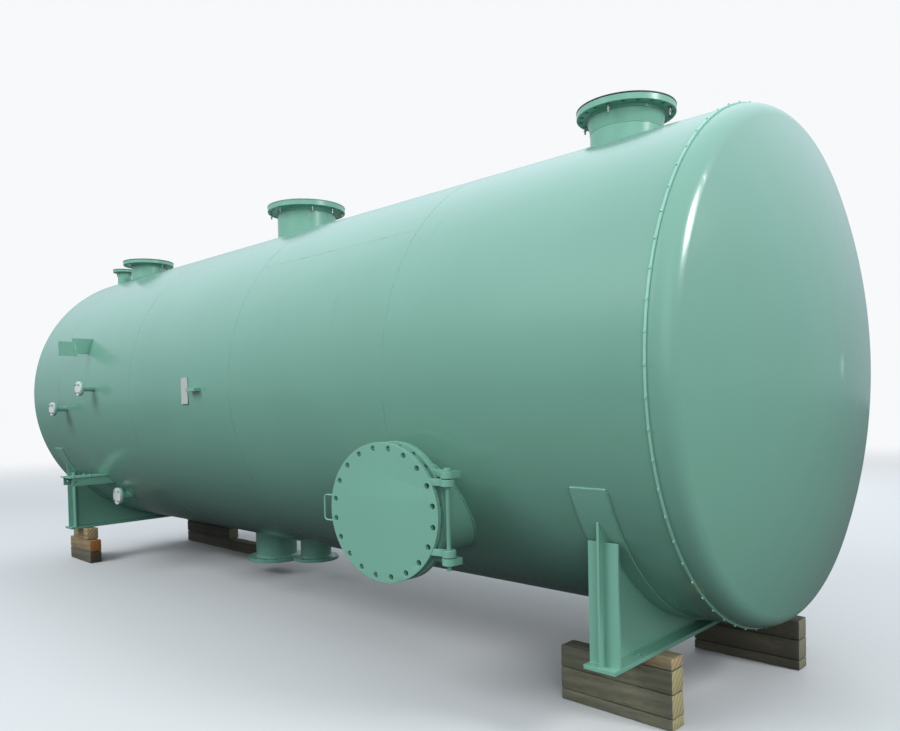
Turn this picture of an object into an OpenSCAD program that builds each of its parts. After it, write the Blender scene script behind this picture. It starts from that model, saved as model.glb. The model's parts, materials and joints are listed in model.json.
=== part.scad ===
// Horizontal pressure tank on two saddles, with a hinged manway cover.
// Millimetres. +X runs along the tank, -Y is the manway side, +Z is up, Z = 0 is the floor.

/* [Shell] */
// Outside diameter of the shell
shell_d = 3200; // [2900:10:3400]
// Shell and head plate thickness
plate_t = 14; // [8:1:20]
// Length between the two head seams
tan_len = 8530; // [8460:10:9200]
// Distance between girth seams, counted from the right head seam
course_len = 1922; // [1880:2:2000]
// Crown radius of the dished heads
crown_r = 4300; // [3400:50:6000]
// Knuckle radius of the dished heads
knuckle_r = 130; // [90:5:260]

/* [Seam ring] */
// Width of the ring over the right head seam
ring_w = 26; // [20:2:60]
// Height of the ring above the shell
ring_h = 10; // [6:1:20]
// Number of lugs round the ring
ring_lugs = 64; // [16:4:96]
// Side of each ring lug
ring_lug_w = 14; // [10:1:20]
// Height of each ring lug above the ring
ring_lug_h = 8; // [5:1:16]

/* [Manway] */
// Manway position along the tank, from its middle
manway_x = 2540; // [2500:5:2600]
// Height of the manway centre below the tank axis
manway_drop = 837; // [780:1:850]
// Distance of the manway flange face out from the shell at its upper edge
manway_clear = 142; // [110:1:220]
// Thickness of the hinged cover
cover_t = 32; // [26:1:50]
// Running gap between the cover and the flange at the hinge
cover_gap = 16; // [8:1:24]
// Angle at which the cover stands open
cover_angle = 7.5; // [4:0.5:12]
// Distance of the hinge rod from the manway centre line
hinge_x = 499; // [490:1:520]
// Distance of each pair of hinge leaves from the manway centre
hinge_z = 230; // [200:1:260]
// Hinge rod diameter
rod_d = 26; // [20:1:36]
// Thickness of the hinge leaves
leaf_t = 42; // [26:1:50]

/* [Nozzles] */
// Position of the right top nozzle
top_a_x = 3233; // [3000:10:3500]
// Position of the middle top nozzle
top_b_x = -637; // [-700:10:-560]
// Position of the left top nozzle
top_c_x = -3347; // [-3360:10:-3000]
// Distance from the left top nozzle to the small one beside it
top_step = 720; // [600:5:750]
// Distance of the two left top nozzles to the front of the centre line
top_offset = 500; // [300:10:560]
// Height of the right top flange face above the shell
top_a_rise = 290; // [200:5:400]
// Height of the middle top flange face above the shell
top_b_rise = 325; // [200:5:400]
// Height of the left top flange faces above the shell where they stand
top_c_rise = 150; // [130:5:300]
// Position of the larger bottom nozzle
low_a_x = -1387; // [-1500:10:-1300]
// Position of the smaller bottom nozzle
low_b_x = -630; // [-700:10:-560]
// Depth of the larger bottom flange face below the shell
low_a_fall = 321; // [200:1:380]
// Depth of the smaller bottom flange face below the shell
low_b_fall = 232; // [180:1:360]
// Thickness of the sheets over the top flanges
lid_t = 10; // [6:1:16]
// Distance the small side nozzles stand off the shell
side_reach = 150; // [120:5:220]

/* [Bracket and shelf] */
// Position of the name plate bracket along the tank
bracket_x = -2680; // [-2900:10:-2400]
// Distance that the bracket's free edge stands out from the shell
bracket_out = 168; // [120:2:240]
// Position of the shelf along the tank
shelf_x = -2980; // [-3060:10:-2900]
// Width of the shelf along the tank
shelf_w = 300; // [240:10:340]
// Distance that the shelf's free edge stands out from the shell
shelf_out = 414; // [340:2:470]
// Depth of the shelf's top below the tank axis
shelf_drop = 925; // [880:5:960]
// Thickness of the shelf's plate and arms
shelf_t = 12; // [8:1:16]
// Height of the shelf's arms
arm_h = 90; // [70:5:110]
// Distance of the arms in from the shelf's edges
shelf_inset = 24; // [16:2:40]

/* [Saddles] */
// Position of the right saddle
saddle_right_x = 3828; // [3700:2:3900]
// Position of the left saddle
saddle_left_x = -3880; // [-3960:10:-3800]
// Width of the wear plates along the tank
wear_w = 228; // [200:4:260]
// Wear plate thickness
wear_t = 10; // [8:1:14]
// Width of the base plates
base_w = 200; // [180:5:260]
// Base plate thickness
base_t = 25; // [16:1:30]
// Length of the base plates across the tank
base_len = 2780; // [2760:10:2800]
// Thickness of the webs and ribs
web_t = 16; // [12:1:20]
// Gap between the lowest shell line and the base plates
keel_gap = 25; // [20:1:80]

/* [Timbers] */
// Side of a timber
timber = 140; // [120:5:160]
// Thickness of the blocks and planks at the right piles
block_t = 70; // [60:5:80]
// Length of the timbers in the right piles
pile_len = 770; // [600:10:1000]
// Length of the blocks on the right piles
block_len = 400; // [300:10:500]
// Left end of the front right pile, measured from its saddle
front_lead = 568; // [300:2:600]
// Left end of the back right pile, measured from its saddle
back_lead = 376; // [300:2:600]
// Length of the two lower timbers in the front left pile
stack_len = 650; // [500:10:900]
// Length of the top timber in the front left pile
stub_len = 450; // [350:10:600]
// Length of the lowest timber in the back left pile
long_len = 1900; // [1200:10:2200]
// Length of the other timbers in the back left pile
mid_len = 1150; // [800:10:1400]
// Left end of the top left timbers, measured from their saddle
left_lead = 233; // [180:1:300]
// Left end of the lower timbers in the front left pile, measured from the saddle
stack_lead = 350; // [250:2:400]
// Distance of the front right pile to the front of the centre line
right_front = 950; // [700:10:1200]
// Distance of the back right pile behind the centre line
right_back = 500; // [300:10:1100]
// Distance of the back left pile behind the centre line
left_back = 300; // [200:10:1100]

/* [Hidden] */
$fn = 96;

shell_r = shell_d / 2;
bore_r = shell_r - plate_t;
fit_gap = 0.3;
half_len = tan_len / 2;
head_depth = crown_r - sqrt(pow(crown_r - knuckle_r, 2) - pow(shell_r - knuckle_r, 2));
pile_h = 3 * timber;
axis_z = pile_h + base_t + keel_gap + shell_r;
wear_r = shell_r + fit_gap + wear_t;

// flange tables: outside diameter, bolt circle, holes, hole diameter, thickness, pipe diameter, pipe wall
fl_man = [872, 800, 20, 35, 40, 650, 20];
fl_24 = [812.8, 749.3, 20, 35.1, 47.8, 609.6, 12.7];
fl_20 = [698.5, 635.0, 20, 31.8, 42.9, 508.0, 12.7];
fl_18 = [635.0, 577.9, 16, 31.8, 39.6, 457.2, 12.7];
fl_16 = [596.9, 539.8, 16, 28.4, 36.6, 406.4, 12.7];
fl_12 = [482.6, 431.8, 12, 25.4, 31.8, 323.9, 9.5];
fl_6 = [279.4, 241.3, 8, 22.4, 25.4, 168.3, 7.1];
fl_2 = [152.4, 120.7, 4, 19.1, 19.1, 60.3, 5.5];
fl_3 = [190.5, 152.4, 4, 19.1, 23.9, 88.9, 5.5];

side_list = [
    [-2397, 60, fl_2],
    [-3217, -152, fl_2],
    [-2706, -1170, fl_3]
];

top_d_x = top_c_x - top_step;
top_a_face = shell_r + top_a_rise;
top_b_face = shell_r + top_b_rise;
top_c_face = sqrt(pow(shell_r, 2) - pow(top_offset, 2)) + top_c_rise;
low_a_face = shell_r + low_a_fall;
low_b_face = shell_r + low_b_fall;
cover_r = fl_man[0] / 2;
manway_reach = sqrt(pow(shell_r, 2) - pow(manway_drop - cover_r, 2)) + manway_clear;
hinge_y = manway_reach + cover_gap + cover_t / 2;
handle_h = 165;
handle_out = 75;
handle_bar_r = 6;
cover_front = (hinge_x + cover_r) * sin(cover_angle) + cover_t / 2 * cos(cover_angle);
handle_front = (hinge_x + cover_r + handle_out) * sin(cover_angle) + handle_bar_r;
front_reach = hinge_y + max(cover_front, handle_front);
back_reach = shell_r + ring_h + ring_lug_h;
shift_y = (front_reach - back_reach) / 2;
rod_r = rod_d / 2;
leaf_gap = 5.2;
leaf_eye_r = 42;
neck_short = 1;

module place() {
    translate([0, shift_y, axis_z])
        children();
}

module pipe(pipe_r, wall, z0, z1) {
    translate([0, 0, z0])
        difference() {
            cylinder(r = pipe_r, h = z1 - z0);
            translate([0, 0, -1])
                cylinder(r = pipe_r - wall, h = z1 - z0 + 2);
        }
}

// ring flange with its face at z = 0 and its body below; it sleeves over the pipe
module ring_flange(f, hub_h) {
    pipe_r = f[5] / 2 + fit_gap;
    difference() {
        rotate_extrude()
            polygon([
                [pipe_r, 0],
                [f[0] / 2, 0],
                [f[0] / 2, -f[4]],
                [pipe_r + hub_h * 0.6, -f[4]],
                [pipe_r + hub_h * 0.2, -f[4] - hub_h],
                [pipe_r, -f[4] - hub_h]
            ]);
        bolt_holes(f, -f[4] - 1, 1);
    }
}

module bolt_holes(f, z0, z1) {
    for (i = [0:f[2] - 1])
        rotate([0, 0, (i + 0.5) * 360 / f[2]])
            translate([f[1] / 2, 0, z0])
                cylinder(r = f[3] / 2, h = z1 - z0, $fn = 32);
}

module disc(f, z0, z1) {
    difference() {
        translate([0, 0, z0])
            cylinder(r = f[0] / 2, h = z1 - z0);
        bolt_holes(f, z0 - 1, z1 + 1);
    }
}

// thin sheet laid over a flange face, a little wider than the flange
module lid(f, face) {
    disc([f[0] + 4, f[1], f[2], f[3]], face, face + lid_t);
}

// places for what stands on the shell: local +Z points away from the axis
module at_top(x, y) {
    translate([x, y, 0])
        children();
}

module at_low(x) {
    translate([x, 0, 0])
        rotate([180, 0, 0])
            children();
}

module at_side(x, z) {
    translate([x, 0, z])
        rotate([90, 0, 0])
            children();
}

module nozzle_cuts() {
    hole = fit_gap + 0.01;
    at_side(manway_x, -manway_drop)
        cylinder(r = fl_man[5] / 2 + hole, h = 2 * shell_r);
    at_top(top_a_x, 0)
        cylinder(r = fl_20[5] / 2 + hole, h = 2 * shell_r);
    at_top(top_b_x, 0)
        cylinder(r = fl_24[5] / 2 + hole, h = 2 * shell_r);
    at_top(top_c_x, -top_offset)
        cylinder(r = fl_16[5] / 2 + hole, h = 2 * shell_r);
    at_top(top_d_x, -top_offset)
        cylinder(r = fl_6[5] / 2 + hole, h = 2 * shell_r);
    at_low(low_a_x)
        cylinder(r = fl_18[5] / 2 + hole, h = 2 * shell_r);
    at_low(low_b_x)
        cylinder(r = fl_12[5] / 2 + hole, h = 2 * shell_r);
    for (s = side_list)
        at_side(s[0], s[1])
            cylinder(r = s[2][5] / 2 + hole, h = 2 * shell_r);
}

module shell_course(x0, x1) {
    difference() {
        translate([x0, 0, 0])
            rotate([0, 90, 0])
                difference() {
                    cylinder(r = shell_r, h = x1 - x0, $fn = 180);
                    translate([0, 0, -1])
                        cylinder(r = bore_r, h = x1 - x0 + 2, $fn = 180);
                }
        nozzle_cuts();
    }
}

module shell_course_1() {
    color("mediumaquamarine")
        place()
            shell_course(half_len - course_len, half_len);
}

module shell_course_2() {
    color("mediumaquamarine")
        place()
            shell_course(half_len - 2 * course_len, half_len - course_len);
}

module shell_course_3() {
    color("mediumaquamarine")
        place()
            shell_course(half_len - 3 * course_len, half_len - 2 * course_len);
}

module shell_course_4() {
    color("mediumaquamarine")
        place()
            shell_course(half_len - 4 * course_len, half_len - 3 * course_len);
}

module shell_course_5() {
    color("mediumaquamarine")
        place()
            shell_course(-half_len, half_len - 4 * course_len);
}

// outline of a dished end: a crown arc and a knuckle arc, reduced by the inset
module dish_profile(inset) {
    crown_c = head_depth - crown_r;
    touch = asin((shell_r - knuckle_r) / (crown_r - knuckle_r));
    intersection() {
        union() {
            intersection() {
                translate([0, crown_c])
                    circle(r = crown_r - inset, $fn = 360);
                polygon([
                    [0, crown_c],
                    [2 * crown_r * sin(touch), crown_c + 2 * crown_r * cos(touch)],
                    [0, crown_c + 2 * crown_r]
                ]);
            }
            translate([shell_r - knuckle_r, 0])
                circle(r = knuckle_r - inset);
        }
        translate([0, -1])
            square([2 * shell_r, 2 * head_depth]);
    }
}

module dished_head() {
    difference() {
        rotate_extrude($fn = 180)
            intersection() {
                dish_profile(0);
                square([2 * shell_r, 2 * head_depth]);
            }
        rotate_extrude($fn = 180)
            dish_profile(plate_t);
    }
}

module head_right() {
    color("mediumaquamarine")
        place()
            translate([half_len, 0, 0])
                rotate([0, 90, 0])
                    dished_head();
}

module head_left() {
    color("mediumaquamarine")
        place()
            translate([-half_len, 0, 0])
                rotate([0, -90, 0])
                    dished_head();
}

module seam_ring() {
    color("mediumaquamarine")
        place()
            translate([half_len - ring_w, 0, 0])
                rotate([0, 90, 0])
                    difference() {
                        union() {
                            cylinder(r = shell_r + ring_h, h = ring_w, $fn = 180);
                            for (i = [0:ring_lugs - 1])
                                rotate([0, 0, i * 360 / ring_lugs])
                                    translate([shell_r, -ring_lug_w / 2, (ring_w - ring_lug_w) / 2])
                                        cube([ring_h + ring_lug_h, ring_lug_w, ring_lug_w]);
                        }
                        translate([0, 0, -1])
                            cylinder(r = shell_r + fit_gap, h = ring_w + 2, $fn = 180);
                    }
}

module manway_neck() {
    color("mediumaquamarine")
        place()
            at_side(manway_x, -manway_drop)
                difference() {
                    pipe(fl_man[5] / 2, fl_man[6], 0, manway_reach - neck_short);
                    translate([0, manway_drop, 0])
                        rotate([0, 90, 0])
                            cylinder(r = bore_r - 10, h = 2000, center = true, $fn = 180);
                }
}

module manway_flange() {
    color("mediumaquamarine")
        place()
            at_side(manway_x, -manway_drop)
                translate([0, 0, manway_reach])
                    ring_flange(fl_man, 10);
}

// what swings about the hinge rod, drawn closed in local axes:
// x to the left is negative, local z points out of the tank, origin on the rod
module swung() {
    place()
        translate([manway_x + hinge_x, -hinge_y, -manway_drop])
            rotate([0, 0, cover_angle])
                children();
}

module manway_cover() {
    color("mediumaquamarine")
        swung()
            translate([-hinge_x, cover_t / 2, 0])
                rotate([90, 0, 0])
                    disc(fl_man, 0, cover_t);
}

module cover_handle() {
    bar_r = handle_bar_r;
    bend_r = 24;
    edge = sqrt(pow(cover_r, 2) - pow(handle_h / 2 + bar_r, 2));
    bar_len = cover_r + handle_out - edge + 30 - bend_r;
    color("mediumaquamarine")
        swung()
            translate([-hinge_x, 0, 0])
                difference() {
                    translate([-cover_r - handle_out, 0, 0]) {
                        for (s = [-1, 1]) {
                            translate([bend_r, 0, s * handle_h / 2])
                                rotate([0, 90, 0])
                                    cylinder(r = bar_r, h = bar_len, $fn = 32);
                            translate([bend_r, 0, s * (handle_h / 2 - bend_r)])
                                rotate([90, 0, 0])
                                    rotate([0, 0, s > 0 ? 90 : 180])
                                        rotate_extrude(angle = 90)
                                            translate([bend_r, 0])
                                                circle(r = bar_r, $fn = 32);
                        }
                        translate([0, 0, bend_r - handle_h / 2])
                            cylinder(r = bar_r, h = handle_h - 2 * bend_r, $fn = 32);
                    }
                    rotate([90, 0, 0])
                        cylinder(r = cover_r + 0.2, h = 200, center = true);
                }
}

// a hinge leaf: an eye on the rod and an arm that reaches towards the disc rim
module leaf(arm, inner_r) {
    difference() {
        union() {
            cylinder(r = leaf_eye_r, h = leaf_t, center = true, $fn = 64);
            arm_box(arm);
        }
        cylinder(r = inner_r, h = leaf_t + 2, center = true, $fn = 64);
    }
}

module arm_box(arm) {
    translate([arm[0], arm[1], -leaf_t / 2])
        cube([arm[2] - arm[0], arm[3] - arm[1], leaf_t]);
}

module cover_leaves() {
    color("mediumaquamarine")
        swung()
            difference() {
                for (s = [-1, 1])
                    translate([0, 0, s * (hinge_z - (leaf_t + leaf_gap) / 2)])
                        leaf([-hinge_x + sqrt(pow(cover_r, 2) - pow(hinge_z + 60, 2)), -cover_t / 2 + 2,
                            0, cover_t / 2 - 2], rod_r + 1);
                translate([-hinge_x, 0, 0])
                    rotate([90, 0, 0])
                        cylinder(r = cover_r + 0.2, h = 200, center = true, $fn = 180);
            }
}

module flange_leaves() {
    reach = cover_gap + cover_t / 2;
    color("mediumaquamarine")
        place()
            translate([manway_x + hinge_x, -hinge_y, -manway_drop])
                difference() {
                    for (s = [-1, 1])
                        translate([0, 0, s * (hinge_z + (leaf_t + leaf_gap) / 2)])
                            difference() {
                                union() {
                                    cylinder(r = leaf_eye_r, h = leaf_t, center = true, $fn = 64);
                                    translate([-hinge_x + 180, reach + 2, -leaf_t / 2])
                                        cube([hinge_x - 180 + leaf_eye_r, fl_man[4] - 4, leaf_t]);
                                    translate([-leaf_eye_r, 0, -leaf_t / 2])
                                        cube([2 * leaf_eye_r, reach + 4, leaf_t]);
                                }
                                cylinder(r = rod_r + 0.3, h = leaf_t + 2, center = true, $fn = 64);
                            }
                    translate([-hinge_x, 0, 0])
                        rotate([90, 0, 0])
                            cylinder(r = cover_r + 0.2, h = 300, center = true, $fn = 180);
                }
}

module hinge_rod() {
    top = hinge_z + leaf_t + leaf_gap / 2;
    color("mediumaquamarine")
        place()
            translate([manway_x + hinge_x, -hinge_y, -manway_drop]) {
                translate([0, 0, -top - 34])
                    cylinder(r = rod_r, h = 2 * top + 35, $fn = 64);
                translate([0, 0, top + 0.2])
                    cylinder(r = rod_r + 10, h = 18, $fn = 64);
            }
}

// a neck through the shell, cut off inside, with its flange end at face
module set_neck(f, face, offset) {
    pipe(f[5] / 2, f[6], sqrt(pow(bore_r, 2) - pow(offset + f[5] / 2, 2)) - 10, face - neck_short);
}

module top_a_neck() {
    color("mediumaquamarine")
        place()
            at_top(top_a_x, 0)
                set_neck(fl_20, top_a_face, 0);
}

module top_a_flange() {
    color("mediumaquamarine")
        place()
            at_top(top_a_x, 0)
                translate([0, 0, top_a_face])
                    ring_flange(fl_20, 24);
}

module top_lids() {
    color("darkslategray")
        place() {
            at_top(top_a_x, 0)
                lid(fl_20, top_a_face);
            at_top(top_b_x, 0)
                lid(fl_24, top_b_face);
            at_top(top_c_x, -top_offset)
                lid(fl_16, top_c_face);
            at_top(top_d_x, -top_offset)
                lid(fl_6, top_c_face);
        }
}

module top_b_neck() {
    color("mediumaquamarine")
        place()
            at_top(top_b_x, 0)
                set_neck(fl_24, top_b_face, 0);
}

module top_b_flange() {
    color("mediumaquamarine")
        place()
            at_top(top_b_x, 0)
                translate([0, 0, top_b_face])
                    ring_flange(fl_24, 24);
}

module top_c_neck() {
    color("mediumaquamarine")
        place()
            at_top(top_c_x, -top_offset)
                set_neck(fl_16, top_c_face, top_offset);
}

module top_c_flange() {
    color("mediumaquamarine")
        place()
            at_top(top_c_x, -top_offset)
                translate([0, 0, top_c_face])
                    ring_flange(fl_16, 10);
}

module top_d_neck() {
    color("mediumaquamarine")
        place()
            at_top(top_d_x, -top_offset)
                set_neck(fl_6, top_c_face, top_offset);
}

module top_d_flange() {
    color("mediumaquamarine")
        place()
            at_top(top_d_x, -top_offset)
                translate([0, 0, top_c_face])
                    ring_flange(fl_6, 12);
}

module low_a_neck() {
    color("mediumaquamarine")
        place()
            at_low(low_a_x)
                set_neck(fl_18, low_a_face, 0);
}

module low_a_flange() {
    color("mediumaquamarine")
        place()
            at_low(low_a_x)
                translate([0, 0, low_a_face])
                    ring_flange(fl_18, 20);
}

module low_b_neck() {
    color("mediumaquamarine")
        place()
            at_low(low_b_x)
                set_neck(fl_12, low_b_face, 0);
}

module low_b_flange() {
    color("mediumaquamarine")
        place()
            at_low(low_b_x)
                translate([0, 0, low_b_face])
                    ring_flange(fl_12, 18);
}

function side_face(s) = sqrt(pow(shell_r, 2) - pow(s[1], 2)) + side_reach;

module side_pipes() {
    color("mediumaquamarine")
        place()
            for (s = side_list)
                at_side(s[0], s[1])
                    set_neck(s[2], side_face(s), abs(s[1]));
}

module side_flanges() {
    color("mediumaquamarine")
        place()
            for (s = side_list)
                at_side(s[0], s[1])
                    translate([0, 0, side_face(s)])
                        ring_flange(s[2], 10);
}

module side_blinds() {
    color("gainsboro")
        place()
            for (s = side_list)
                at_side(s[0], s[1])
                    disc(s[2], side_face(s), side_face(s) + s[2][4]);
}

// plate that stands off the shell across the tank, with the name plate on its right face
bracket_t = 8;
bracket_low = 450;
bracket_high = 622;
name_plate_t = 5;
name_plate_w = 190;
name_plate_h = 158;
name_plate_low = 425;
name_plate_lap = 45;
corner_inset = 18;
bracket_reach = sqrt(pow(shell_r, 2) - pow(bracket_low, 2)) + bracket_out;
name_plate_out = bracket_reach + name_plate_w - name_plate_lap;

module plate_bracket() {
    color("mediumaquamarine")
        place()
            difference() {
                translate([bracket_x - bracket_t / 2, -bracket_reach, bracket_low])
                    cube([bracket_t, bracket_reach - bore_r / 2, bracket_high - bracket_low]);
                rotate([0, 90, 0])
                    cylinder(r = shell_r + fit_gap, h = tan_len, center = true, $fn = 180);
            }
}

module name_plate() {
    color("mediumaquamarine")
        place()
            translate([bracket_x + bracket_t / 2, -name_plate_out, name_plate_low])
                difference() {
                    cube([name_plate_t, name_plate_w, name_plate_h]);
                    for (y = [corner_inset, name_plate_w - corner_inset])
                        for (z = [corner_inset, name_plate_h - corner_inset])
                            translate([-1, y, z])
                                rotate([0, 90, 0])
                                    cylinder(r = 4, h = name_plate_t + 2, $fn = 32);
                }
}

module label_plate() {
    color("lightgray")
        place()
            translate([-394, -shell_r - fit_gap - 6, -134])
                cube([116, 6, 236]);
}

// small shelf on the manway side: a top plate on two arms that stand out from the shell
shelf_reach = sqrt(pow(shell_r, 2) - pow(shelf_drop, 2)) + shelf_out;
shelf_low = -shelf_drop - shelf_t;
shelf_hole_x = shelf_w / 2 - 60;

module shelf_plate() {
    color("mediumaquamarine")
        place()
            difference() {
                translate([shelf_x - shelf_w / 2, -shelf_reach, shelf_low])
                    cube([shelf_w, shelf_reach - bore_r / 2, shelf_t]);
                rotate([0, 90, 0])
                    cylinder(r = shell_r + fit_gap, h = tan_len, center = true, $fn = 180);
                for (x = [-1, 1])
                    for (y = [60, 240])
                        translate([shelf_x + x * shelf_hole_x, -shelf_reach + y, shelf_low - 1])
                            cylinder(r = 9, h = shelf_t + 2, $fn = 32);
            }
}

module shelf_arms() {
    color("mediumaquamarine")
        place()
            difference() {
                for (s = [-1, 1])
                    translate([
                        shelf_x + s * (shelf_w / 2 - shelf_inset) - shelf_t / 2,
                        -shelf_reach + shelf_inset,
                        shelf_low - arm_h
                    ])
                        cube([shelf_t, shelf_reach - bore_r / 2, arm_h]);
                rotate([0, 90, 0])
                    cylinder(r = shell_r + fit_gap, h = tan_len, center = true, $fn = 180);
                translate([shelf_x, -shelf_reach + shelf_inset + 45, shelf_low - arm_h / 2])
                    rotate([0, 90, 0])
                        cylinder(r = 11, h = 2 * shelf_w, center = true, $fn = 32);
            }
}

module side_lug() {
    color("mediumaquamarine")
        place()
            difference() {
                translate([-206, -shell_r - 60, -25])
                    cube([150, 110, 30]);
                rotate([0, 90, 0])
                    cylinder(r = shell_r + 0.2, h = tan_len, center = true, $fn = 180);
            }
}

wear_top = 0.4 * shell_r - 1;
web_half = base_len / 2 - 8;
rib_y = base_len / 2 - 65;
rib_inner_y = 150;
base_hole_y = base_len / 2 - 330;
saddle_low = shell_r + keel_gap;
left_front = base_len / 2 - timber;
// the outer ribs stop this far under the wear plate
rib_cope = 20;

module at_saddles() {
    for (x = [saddle_left_x, saddle_right_x])
        translate([x, 0, 0])
            children();
}

module wear_plates() {
    color("mediumaquamarine")
        place()
            at_saddles()
                rotate([0, 90, 0])
                    intersection() {
                        difference() {
                            cylinder(r = wear_r, h = wear_w, center = true, $fn = 180);
                            cylinder(r = shell_r + fit_gap, h = wear_w + 2, center = true, $fn = 180);
                        }
                        translate([wear_top, -2 * shell_r, -wear_w])
                            cube([2 * shell_r, 4 * shell_r, 2 * wear_w]);
                    }
}

module saddle_webs() {
    color("mediumaquamarine")
        place()
            at_saddles()
                difference() {
                    translate([-web_t / 2, -web_half, -saddle_low])
                        cube([web_t, 2 * web_half, saddle_low - wear_top]);
                    rotate([0, 90, 0])
                        cylinder(r = wear_r + fit_gap, h = 2 * web_t, center = true, $fn = 180);
                }
}

module saddle_ribs() {
    rib_w = (base_w - 10 - web_t) / 2;
    outer_top = sqrt(pow(wear_r, 2) - pow(rib_y - web_t / 2, 2)) + rib_cope;
    color("mediumaquamarine")
        place()
            at_saddles()
                difference() {
                    for (s = [-1, 1]) {
                        for (y = [-rib_y, rib_y])
                            translate([s * (web_t / 2 + rib_w / 2) - rib_w / 2, y - web_t / 2, -saddle_low])
                                cube([rib_w, web_t, saddle_low - outer_top]);
                        for (y = [-rib_inner_y, rib_inner_y])
                            translate([s * (web_t / 2 + rib_w / 2) - rib_w / 2, y - web_t / 2, -saddle_low])
                                cube([rib_w, web_t, saddle_low]);
                    }
                    rotate([0, 90, 0])
                        cylinder(r = wear_r + fit_gap, h = 2 * base_w, center = true, $fn = 180);
                }
}

module saddle_bases() {
    color("mediumaquamarine")
        place()
            at_saddles()
                difference() {
                    translate([-base_w / 2, -base_len / 2, -saddle_low - base_t])
                        cube([base_w, base_len, base_t]);
                    for (y = [-1, 1])
                        for (x = [-1, 1])
                            translate([x * 60, y * base_hole_y, -saddle_low - base_t - 1])
                                cylinder(r = 14, h = base_t + 2, $fn = 32);
                }
}

module timber_at(x0, length, y0, z0, h) {
    translate([x0, y0 + shift_y, z0])
        cube([length, timber, h]);
}

module timbers_lowest() {
    color("burlywood") {
        timber_at(saddle_left_x - stack_lead, stack_len, -left_front, 0, timber);
        timber_at(saddle_left_x - left_lead, long_len, left_back, 0, timber);
        timber_at(saddle_right_x - front_lead, pile_len, -right_front, 0, block_t);
        timber_at(saddle_right_x - back_lead, pile_len, right_back, 0, block_t);
    }
}

module timbers_lower() {
    color("burlywood") {
        timber_at(saddle_left_x - stack_lead, stack_len, -left_front, timber, timber);
        timber_at(saddle_left_x - left_lead, mid_len, left_back, timber, timber);
        timber_at(saddle_right_x - front_lead, pile_len, -right_front, block_t, timber);
        timber_at(saddle_right_x - back_lead, pile_len, right_back, block_t, timber);
    }
}

module timbers_upper() {
    color("burlywood") {
        timber_at(saddle_left_x - left_lead, stub_len, -left_front, 2 * timber, timber);
        timber_at(saddle_left_x - left_lead, mid_len, left_back, 2 * timber, timber);
        timber_at(saddle_right_x - front_lead, pile_len, -right_front, block_t + timber, timber);
        timber_at(saddle_right_x - back_lead, pile_len, right_back, block_t + timber, timber);
    }
}

module timber_blocks() {
    block_z = block_t + 2 * timber;
    color("burlywood") {
        timber_at(saddle_right_x - block_len / 2, block_len, -right_front, block_z, pile_h - block_z);
        timber_at(saddle_right_x - block_len / 2, block_len, right_back, block_z, pile_h - block_z);
    }
}

shell_course_1();
shell_course_2();
shell_course_3();
shell_course_4();
shell_course_5();
head_left();
head_right();
seam_ring();
manway_neck();
manway_flange();
manway_cover();
cover_handle();
cover_leaves();
flange_leaves();
hinge_rod();
top_a_neck();
top_a_flange();
top_lids();
top_b_neck();
top_b_flange();
top_c_neck();
top_c_flange();
top_d_neck();
top_d_flange();
low_a_neck();
low_a_flange();
low_b_neck();
low_b_flange();
side_pipes();
side_flanges();
side_blinds();
plate_bracket();
name_plate();
label_plate();
side_lug();
shelf_plate();
shelf_arms();
wear_plates();
saddle_webs();
saddle_ribs();
saddle_bases();
timbers_lowest();
timbers_lower();
timbers_upper();
timber_blocks();
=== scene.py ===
"""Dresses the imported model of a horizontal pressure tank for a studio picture."""

import json
import math

import bpy
from bpy.props import FloatProperty, FloatVectorProperty, PointerProperty
from bpy.types import Operator, Panel, PropertyGroup
from mathutils import Matrix, Vector

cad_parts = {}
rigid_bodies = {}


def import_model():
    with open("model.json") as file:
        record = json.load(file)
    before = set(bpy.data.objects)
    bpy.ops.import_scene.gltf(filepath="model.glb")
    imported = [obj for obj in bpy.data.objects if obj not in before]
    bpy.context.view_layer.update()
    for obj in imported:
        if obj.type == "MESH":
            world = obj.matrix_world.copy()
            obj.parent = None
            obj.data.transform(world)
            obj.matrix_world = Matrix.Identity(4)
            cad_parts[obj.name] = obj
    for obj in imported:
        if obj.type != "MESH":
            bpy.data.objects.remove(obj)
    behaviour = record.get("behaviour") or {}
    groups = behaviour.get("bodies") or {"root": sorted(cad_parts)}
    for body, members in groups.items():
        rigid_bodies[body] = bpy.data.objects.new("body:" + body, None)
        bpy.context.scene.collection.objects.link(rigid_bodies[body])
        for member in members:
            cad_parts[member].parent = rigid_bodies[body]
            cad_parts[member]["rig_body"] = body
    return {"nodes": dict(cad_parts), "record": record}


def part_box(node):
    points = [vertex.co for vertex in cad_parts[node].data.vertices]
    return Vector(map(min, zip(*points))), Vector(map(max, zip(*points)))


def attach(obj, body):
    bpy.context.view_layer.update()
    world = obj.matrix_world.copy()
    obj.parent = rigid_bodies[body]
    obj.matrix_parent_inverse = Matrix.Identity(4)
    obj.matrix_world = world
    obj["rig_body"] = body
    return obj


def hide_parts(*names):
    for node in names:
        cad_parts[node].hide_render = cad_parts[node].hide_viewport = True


bl_info = {
    "name": "Horizontal Tank Dressing",
    "version": (1, 0, 0),
    "blender": (4, 5, 0),
    "location": "3D View > Sidebar > Tank",
    "description": "Materials, welds, fasteners and a studio for a horizontal pressure tank",
    "category": "Object",
}

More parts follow.
